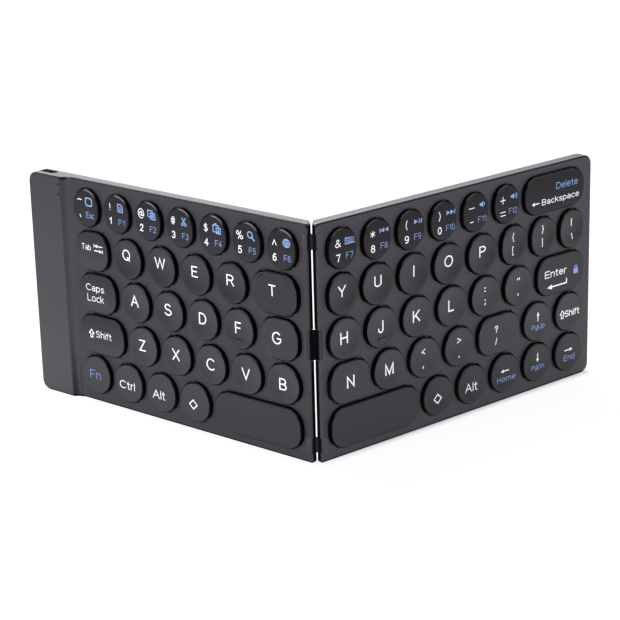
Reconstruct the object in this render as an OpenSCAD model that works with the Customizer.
// Folding keyboard: two key halves joined along one short edge by a slim
// twin-axis hinge. Millimetres, +Z up. It stands on its front long edges,
// opened past flat like a book, with the key faces on the outer side of the V.
// Local frame of a half: x to the right as seen from the keys, y up along the
// rows, z out of the deck face; x = 0 is the half's hinge-side edge.

/* [Fold] */
// How far each half stands past flat about its own hinge axis, degrees
fold = 40; // [0:1:48]
// Distance between the two hinge axes
axis_gap = 5.4; // [5.2:0.1:6.2]
// Depth of each hinge axis below the deck face
axis_depth = 0.9; // [0.9:0.05:1.3]
// Distance from each hinge axis to its half's edge
axis_edge = 1.85; // [1.6:0.05:2.1]

/* [Halves] */
// Height of both halves (the depth of the keyboard in use)
deck_h = 99.2; // [96:0.2:102]
// Width of the left half, with the raised bar
left_w = 153.6; // [150:0.1:158]
// Width of the right half
right_w = 156.5; // [154:0.1:160]
// Thickness of a half from deck face to back face
half_t = 6.2; // [5.8:0.1:7.5]
// Outer corner radius
corner_r = 4.2; // [3:0.1:6]
// Hinge-side corner radius
hinge_corner_r = 1.0; // [0.7:0.1:2]
// Bevel around the deck face
deck_bevel = 0.6; // [0.3:0.05:0.9]
// Thickness of the deck plate
plate_t = 1.4; // [1.2:0.05:1.6]
// Depth of the deck's rim, where the back shell starts
rim_d = 2.5; // [2.4:0.05:3]

/* [Raised bar] */
// How far the bar stands proud of the deck
bar_up = 2.6; // [2:0.05:2.8]
// Width of the bar's flat top
bar_flat = 19.1; // [17:0.1:20]
// Width of the hollow slope between deck and bar
bar_slope = 4.4; // [3:0.1:5]

/* [Keys] */
// Height of the cap tops above the deck
cap_up = 1.7; // [1.4:0.05:1.75]
// Key travel
travel = 1.2; // [0.8:0.05:1.2]
// Gap between a cap and its hole
cap_gap = 0.35; // [0.25:0.05:0.5]
// Middle of the bottom key row above the front edge
row_low = 12.9; // [11.8:0.1:13.2]
// Middle of the number row below the back edge
row_high = 11.78; // [11.4:0.02:12.6]
// Web of deck left between two key rows
row_web = 0.63; // [0.6:0.01:1.2]
// How much lower a number-row key hole is than the others
num_less = 0.7; // [0.4:0.1:1.2]
// Width of a number-row key hole
num_w = 15.7; // [15:0.1:16.5]
// Width of an ordinary left key hole
left_kw = 17.3; // [16:0.1:17.8]
// Width of an ordinary right key hole
right_kw = 17.8; // [16:0.1:18]
// Depth of the finger dish in a cap
dish = 0.22; // [0.1:0.02:0.3]

/* [Port] */
// Middle of the charging port from the left half's outer edge
port_in = 7.9; // [7.8:0.1:10]
// Depth of the port's middle below the deck face
port_deep = 2.5; // [2.2:0.05:2.9]

/* [Hidden] */
$fn = 64;
wall = 1.3;
bevel = 0.45;
eps = 0.01;
shell_floor = 1.0;
row_pitch = (deck_h - row_low - row_high) / 4;
hole_h = row_pitch - row_web;
num_h = hole_h - num_less;
board_y = deck_h - 24.4;
mem_top = plate_t + 0.35;
mem_t = 0.25;
steel_t = 0.5;
steel_low = mem_top + mem_t + steel_t;
bar_in = left_w - bar_flat;
slope_in = bar_in - bar_slope;
cove_r = (bar_slope * bar_slope + bar_up * bar_up) / (2 * bar_up);
lip = axis_edge + 1.15;
eye_r = axis_depth - 0.1;
notch = axis_edge + eye_r + 0.1;
pin_r = 0.45;
link_h = 6.1;
link_z = [4.4, deck_h - 4.4 - link_h];
sleeve_h = 12.2;
sleeve_z = (deck_h - sleeve_h) / 2;
shell_bevel = rim_d - 0.15;
port_w = 9.0;
port_h = 3.3;
port_x = -(left_w - port_in);
screw_in = 3.2;
foot_r = 3.6;

// Middle of the footprint, which becomes the frame's origin.
reach_r = axis_gap / 2 + cos(fold) * (right_w - axis_edge) + sin(fold) * axis_depth;
reach_l = axis_gap / 2 + cos(fold) * (left_w - axis_edge) + sin(fold) * (axis_depth + bar_up);
mid_x = (reach_r - reach_l) / 2;
front_y = -sin(fold) * axis_edge - cos(fold) * axis_depth;
back_y = sin(fold) * (right_w - axis_edge) + cos(fold) * (half_t - axis_depth);
mid_y = (front_y + back_y) / 2;

function row_y(r) = row_low + (5 - r) * row_pitch;
function key_h(r) = r == 1 ? num_h : hole_h;
function run(u, pitch, n, r, w) = [for (i = [0:n - 1]) [u + i * pitch, r, w]];
function span(a, b, r) = [[(a + b) / 2, r, b - a]];

// Every key hole as [distance of its middle from the hinge edge, row, width].
left_keys = concat(
    run(11.8, 18.06, 7, 1, num_w),
    span(3.8, 28.3, 2), run(39.1, 19.3, 4, 2, left_kw), span(107.9, 128.0, 2),
    span(3.9, 24.6, 3), run(35.8, 19.25, 4, 3, left_kw), span(104.5, 127.4, 3),
    span(3.8, 21.9, 4), run(32.4, 19.28, 4, 4, left_kw), span(101.0, 128.3, 4),
    span(3.8, 50.7, 5), run(61.6, 19.3, 4, 5, left_kw));
right_keys = concat(
    run(11.9, 18.2, 6, 1, num_w), span(113.1, 150.6, 1),
    run(11.7, 0, 1, 2, 16.1), run(30.2, 19.5, 4, 2, right_kw), run(107.5, 17.7, 3, 2, 15.9),
    run(12.4, 19.55, 6, 3, right_kw), span(121.2, 151.2, 3),
    span(3.6, 25.7, 4), run(35.7, 19.7, 3, 4, right_kw), span(85.9, 111.2, 4),
    run(121.9, 19.8, 2, 4, right_kw),
    span(3.6, 52.6, 5), run(62.9, 19.7, 5, 5, right_kw));

// Screws as [place along the row, 1 at the top edge or 0 at the bottom].
function between(k, i) = (k[i][0] + k[i + 1][0]) / 2;
function screw_set(k, tops, lows, last) = concat(
    [for (i = tops) [between(k, i), 1]], [for (i = lows) [between(k, i), 0]], [[last, 0], [last, 1]]);
screw_l = screw_set(left_keys, [0, 2, 4], [26, 28], bar_in - 3.2);
screw_r = screw_set(right_keys, [0, 2, 4], [30, 32], right_w - 3.4);

graphite = [0.25, 0.25, 0.27];
cap_grey = [0.20, 0.20, 0.22];
cap_dark = [0.13, 0.13, 0.15];
black = [0.05, 0.05, 0.06];
steel = [0.62, 0.63, 0.65];

// ---------- placing ----------
module left_half() translate([-mid_x - axis_gap / 2, -mid_y, 0]) rotate([0, 0, -fold])
    rotate([90, 0, 0]) translate([axis_edge, 0, axis_depth]) children();
module right_half() translate([-mid_x + axis_gap / 2, -mid_y, 0]) rotate([0, 0, fold])
    rotate([90, 0, 0]) translate([-axis_edge, 0, axis_depth]) children();
module link_frame() translate([-mid_x, -mid_y, 0]) children();

// ---------- outlines ----------
// Rectangle with round corners, centred.
module pill(w, h, r) {
    if (w > 2 * r) square([w - 2 * r, h], center = true);
    if (h > 2 * r) square([w, h - 2 * r], center = true);
    for (i = w > 2 * r ? [-1, 1] : [0], j = h > 2 * r ? [-1, 1] : [0])
        translate([i * (w / 2 - r), j * (h / 2 - r)]) circle(r);
}
// Bar of length l along x with a bevelled top, from z = a to z = b.
module ridge(l, w, a, b, c) rotate([90, 0, 90]) linear_extrude(l, center = true)
    polygon([[-w / 2, a], [w / 2, a], [w / 2, b - c], [w / 2 - c, b], [c - w / 2, b], [-w / 2, b - c]]);
// The same outline with a bevelled top edge, from z = a to z = b.
module bevelled(w, h, r, a, b, c) {
    if (w > 2 * r) ridge(w - 2 * r, h, a, b, c);
    if (h > 2 * r) rotate([0, 0, 90]) ridge(h - 2 * r, w, a, b, c);
    for (i = w > 2 * r ? [-1, 1] : [0], j = h > 2 * r ? [-1, 1] : [0])
        translate([i * (w / 2 - r), j * (h / 2 - r), 0]) {
        translate([0, 0, a]) cylinder(r = r, h = b - c - a);
        translate([0, 0, b - c]) cylinder(r1 = r, r2 = r - c, h = c);
    }
}
// Plate of one half: small corners at the hinge, large ones outside.
module slab(w, a, b, c) {
    translate([w / 2, deck_h / 2, 0]) bevelled(w, deck_h, corner_r, a, b, c);
    translate([6, deck_h / 2, 0]) bevelled(12, deck_h, hinge_corner_r, a, b, c);
}
module key_outline(k, g) pill(k[2] - 2 * g, key_h(k[1]) - 2 * g, end_r(k) - g);
function end_r(k) = min(k[2], key_h(k[1]), k[2] > 20 ? 15.6 : 30) / 2;

// ---------- one key ----------
module cap(k) {
    w = k[2] - 2 * cap_gap;
    h = key_h(k[1]) - 2 * cap_gap;
    r = end_r(k) - cap_gap;
    reach = min(w, h) / 2 - bevel - 0.3;
    bow = (reach * reach + dish * dish) / (2 * dish);
    difference() {
        bevelled(w, h, r, -0.35, cap_up, bevel);
        translate([0, 0, -0.36]) linear_extrude(0.96) key_outline(k, cap_gap + 0.9);
        if (k[2] < 20) translate([0, 0, cap_up - dish + bow]) sphere(r = bow, $fn = 200);
    }
    translate([0, 0, -0.5]) cylinder(r = 1.5, h = 1.15);
}
// Raised line near the lower edge, felt by a finger, for the two middle keys.
module ridge_mark() translate([-2, -5.15, cap_up - 0.5]) cube([4, 0.5, 0.62]);
module left_key(i) color(i < 7 ? cap_dark : cap_grey) left_half()
    translate([-left_keys[i][0], row_y(left_keys[i][1]), 0]) {
        cap(left_keys[i]);
        children();
    }
module right_key(i) color(i < 7 ? cap_dark : cap_grey) right_half()
    translate([right_keys[i][0], row_y(right_keys[i][1]), 0]) {
        cap(right_keys[i]);
        children();
    }

// ---------- parts of a half, drawn with x from the hinge edge outwards ----------
module holes(keys, d) for (k = keys) translate([k[0], row_y(k[1]), -d]) linear_extrude(2 * d)
    key_outline(k, 0);
module at_screws(us) for (s = us) translate([s[0], s[1] == 1 ? deck_h - screw_in : screw_in, 0]) children();
module notches() {
    for (z = link_z) translate([-1, z - 0.1, -half_t - 1]) cube([1 + notch, link_h + 0.2, half_t + 2]);
    translate([-1, sleeve_z - 0.45, -half_t - 1]) cube([1 + notch, sleeve_h + 0.9, half_t + 2]);
}
module pins(r, past) for (z = link_z) translate([axis_edge, z - 2.2 - past, -axis_depth])
    rotate([-90, 0, 0]) cylinder(r = r, h = link_h + 4.4 + 2 * past);
module deck(w, keys, us) difference() {
    union() {
        difference() {
            slab(w, -rim_d, 0, deck_bevel);
            translate([lip, wall, -rim_d - 1]) cube([w - wall - lip, deck_h - 2 * wall, 1 + rim_d - plate_t]);
        }
        at_screws(us) translate([0, 0, -half_t + shell_floor])
            cylinder(r = 1.7, h = half_t - shell_floor - 1);
    }
    holes(keys, mem_top);
    notches();
    pins(pin_r + 0.02, 0.1);
    at_screws(us) translate([0, 0, -half_t]) cylinder(r = 0.55, h = half_t - 2);
}
module back_shell(w, us) difference() {
    slab_back(w);
    translate([5.2, wall, -half_t + shell_floor]) cube([w - 5.2 - wall, deck_h - 2 * wall, half_t]);
    translate([0, -1, -shell_bevel]) rotate([0, -45, 0]) translate([-9, 0, -9]) cube([9, deck_h + 2, 18]);
    notches();
    at_screws(us) {
        translate([0, 0, -half_t - 1]) cylinder(r = 0.75, h = 4);
        translate([0, 0, -half_t - 1]) cylinder(r = 1.5, h = 1.6);
        translate([0, 0, -half_t + shell_floor]) cylinder(r = 1.75, h = half_t);
    }
    feet_at(w) translate([0, 0, -half_t - 1]) cylinder(r = foot_r + 0.05, h = 1.35);
}
module slab_back(w) mirror([0, 0, 1]) slab(w, rim_d, half_t, 0.8);
module ribs(x0, x1) for (i = [1:3]) translate([x0, deck_h * i / 4 - 0.5, -half_t + shell_floor - eps])
    cube([x1 - x0, 1, half_t - shell_floor - steel_low + eps]);
module feet_at(w) for (u = [13, w - 13], y = [11, deck_h - 11]) translate([u, y, 0]) children();
module feet(w) feet_at(w) translate([0, 0, -half_t - 0.6]) cylinder(r = foot_r, h = 0.95);
module sheet(x1, top, t, us) difference() {
    translate([lip + 0.4, wall + 0.4, -top - t]) cube([x1 - lip - 0.4, deck_h - 2 * wall - 0.8, t]);
    at_screws(us) translate([0, 0, -top - t - 1]) cylinder(r = 2.0, h = t + 2);
}
module domes(keys) for (k = keys) translate([k[0], row_y(k[1]), -mem_top])
    cylinder(r1 = 3.2, r2 = 1.7, h = mem_top - 0.55);
module screws(us) at_screws(us) {
    translate([0, 0, -half_t + 0.1]) cylinder(r = 1.4, h = 0.5);
    translate([0, 0, -half_t + 0.55]) cylinder(r = 0.53, h = 3.1);
}

// ---------- left half ----------
module left_deck() color(graphite) left_half() mirror([1, 0, 0]) difference() {
    union() {
        deck(left_w, left_keys, screw_l);
        bar();
    }
    // room for cell and board under the bar
    translate([bar_in + 1.0, wall, -rim_d - 1])
        cube([bar_flat - 1.0 - wall, deck_h - 2 * wall, rim_d + bar_up]);
    port_cut();
    for (y = [deck_h - 7.8, deck_h - 3.5]) translate([bar_in + 0.8, y, bar_up - 3]) cylinder(r = 0.45, h = 4);
}
module bar() difference() {
    translate([left_w - 15, deck_h / 2, 0]) bevelled(30, deck_h, corner_r, -rim_d, bar_up, deck_bevel);
    translate([slope_in, deck_h / 2, cove_r]) rotate([90, 0, 0])
        cylinder(r = cove_r, h = deck_h + 2, center = true, $fn = 128);
    translate([slope_in - 40, -1, -0.02]) cube([40, deck_h + 2, 10]);
    translate([slope_in - 40, -1, -rim_d - 1]) cube([40, deck_h + 2, 10]);
}
module port_cut() translate([left_w - port_in, deck_h - 6, -port_deep]) rotate([-90, 0, 0])
    linear_extrude(8) pill(port_w + 0.3, port_h + 0.3, port_h / 2 + 0.1);
module left_back_shell() color(graphite) left_half() mirror([1, 0, 0]) {
    difference() {
        back_shell(left_w, screw_l);
        port_cut();
    }
    ribs(5, slope_in - 1);
}
module left_support_plate() color(steel) left_half() mirror([1, 0, 0])
    sheet(slope_in - 1, mem_top + mem_t, steel_t, screw_l);
module left_switch_membrane() color([0.75, 0.78, 0.72]) left_half() mirror([1, 0, 0])
    sheet(slope_in - 1, mem_top, mem_t, screw_l);
module left_rubber_domes() color([0.8, 0.8, 0.82]) left_half() mirror([1, 0, 0]) domes(left_keys);
module main_circuit_board() color([0.05, 0.3, 0.15]) left_half() mirror([1, 0, 0])
    translate([bar_in + 1.3, board_y, -port_deep - port_h / 2 - 0.8])
    cube([bar_flat - wall - 1.6, deck_h - wall - 0.5 - board_y, 0.8]);
module battery() color([0.7, 0.72, 0.75]) left_half() mirror([1, 0, 0])
    translate([bar_in + bar_flat / 2, board_y / 2 + 3, -half_t + shell_floor])
    linear_extrude(6) pill(14, board_y - 14, 1.5);
module charging_port() color(steel) left_half() mirror([1, 0, 0])
    translate([left_w - port_in, deck_h - 0.3, -port_deep]) rotate([90, 0, 0]) {
        difference() {
            linear_extrude(7.3) pill(port_w, port_h, port_h / 2 - 0.02);
            translate([0, 0, -1]) linear_extrude(7.4) pill(port_w - 0.6, port_h - 0.6, port_h / 2 - 0.32);
        }
        translate([-3.3, -0.35, 0.6]) cube([6.6, 0.7, 6]);
    }
module indicator_lights() color([0.85, 0.88, 0.9]) left_half() mirror([1, 0, 0])
    for (y = [deck_h - 7.8, deck_h - 3.5]) translate([bar_in + 0.8, y, bar_up - 1.2])
        cylinder(r = 0.43, h = 1.2);
module left_feet() color(black) left_half() mirror([1, 0, 0]) feet(left_w);
module left_screws() color(steel) left_half() mirror([1, 0, 0]) screws(screw_l);
module left_hinge_pins() color(steel) left_half() mirror([1, 0, 0]) pins(pin_r, 0);

// ---------- right half ----------
module right_deck() color(graphite) right_half() deck(right_w, right_keys, screw_r);
module right_back_shell() color(graphite) right_half() {
    back_shell(right_w, screw_r);
    ribs(5, right_w - 5);
}
module right_support_plate() color(steel) right_half()
    sheet(right_w - 4.6, mem_top + mem_t, steel_t, screw_r);
module right_switch_membrane() color([0.75, 0.78, 0.72]) right_half()
    sheet(right_w - 4.6, mem_top, mem_t, screw_r);
module right_rubber_domes() color([0.8, 0.8, 0.82]) right_half() domes(right_keys);
module right_feet() color(black) right_half() feet(right_w);
module right_screws() color(steel) right_half() screws(screw_r);
module right_hinge_pins() color(steel) right_half() pins(pin_r, 0);

// ---------- hinge link ----------
module link_block(h, r) linear_extrude(h) {
    square([axis_gap, 2 * r], center = true);
    for (i = [-1, 1]) translate([i * axis_gap / 2, 0]) circle(r);
}
module hinge_links() color([0.22, 0.22, 0.24]) link_frame() for (z = link_z) translate([0, 0, z])
    difference() {
        link_block(link_h, eye_r);
        for (i = [-1, 1]) translate([i * axis_gap / 2, 0, -1]) cylinder(r = pin_r + 0.05, h = link_h + 2);
    }
module cable_sleeve() color(black) link_frame() translate([0, 0, sleeve_z]) difference() {
    link_block(sleeve_h, eye_r);
    translate([0, 0, sleeve_h / 2]) cube([axis_gap + 4, 0.4, sleeve_h - 2], center = true);
}
module ribbon_cable() color([0.75, 0.45, 0.12]) link_frame()
    translate([0, 0, sleeve_z + sleeve_h / 2]) cube([axis_gap + 1.2, 0.3, sleeve_h - 2.2], center = true);

// ---------- keys ----------
module key_q() left_key(11);
module key_w() left_key(10);
module key_e() left_key(9);
module key_r() left_key(8);
module key_t() left_key(7);
module key_a() left_key(17);
module key_s() left_key(16);
module key_d() left_key(15);
module key_f() left_key(14) ridge_mark();
module key_g() left_key(13);
module key_z() left_key(23);
module key_x() left_key(22);
module key_c() left_key(21);
module key_v() left_key(20);
module key_b() left_key(19);
module key_y() right_key(7);
module key_u() right_key(8);
module key_i() right_key(9);
module key_o() right_key(10);
module key_p() right_key(11);
module key_h() right_key(15);
module key_j() right_key(16) ridge_mark();
module key_k() right_key(17);
module key_l() right_key(18);
module key_n() right_key(22);
module key_m() right_key(23);
module left_number_keys() for (i = [0:6]) left_key(i);
module right_number_keys() for (i = [0:5]) right_key(i);
module backspace_key() right_key(6);
module enter_key() right_key(21);
module left_space_bar() left_key(25);
module right_space_bar() right_key(29);
module left_modifier_keys() for (i = [12, 18, 24, 26, 27, 28, 29]) left_key(i);
module right_modifier_keys() for (i = [28, 30, 31]) right_key(i);
module punctuation_keys() for (i = [12, 13, 14, 19, 20, 24, 25, 26]) right_key(i);
module arrow_keys() for (i = [27, 32, 33, 34]) right_key(i);

left_deck();
left_back_shell();
left_support_plate();
left_switch_membrane();
left_rubber_domes();
main_circuit_board();
battery();
charging_port();
indicator_lights();
left_feet();
left_screws();
left_hinge_pins();
right_deck();
right_back_shell();
right_support_plate();
right_switch_membrane();
right_rubber_domes();
right_feet();
right_screws();
right_hinge_pins();
hinge_links();
cable_sleeve();
ribbon_cable();
key_q();
key_w();
key_e();
key_r();
key_t();
key_a();
key_s();
key_d();
key_f();
key_g();
key_z();
key_x();
key_c();
key_v();
key_b();
key_y();
key_u();
key_i();
key_o();
key_p();
key_h();
key_j();
key_k();
key_l();
key_n();
key_m();
left_number_keys();
right_number_keys();
backspace_key();
enter_key();
left_space_bar();
right_space_bar();
left_modifier_keys();
right_modifier_keys();
punctuation_keys();
arrow_keys();
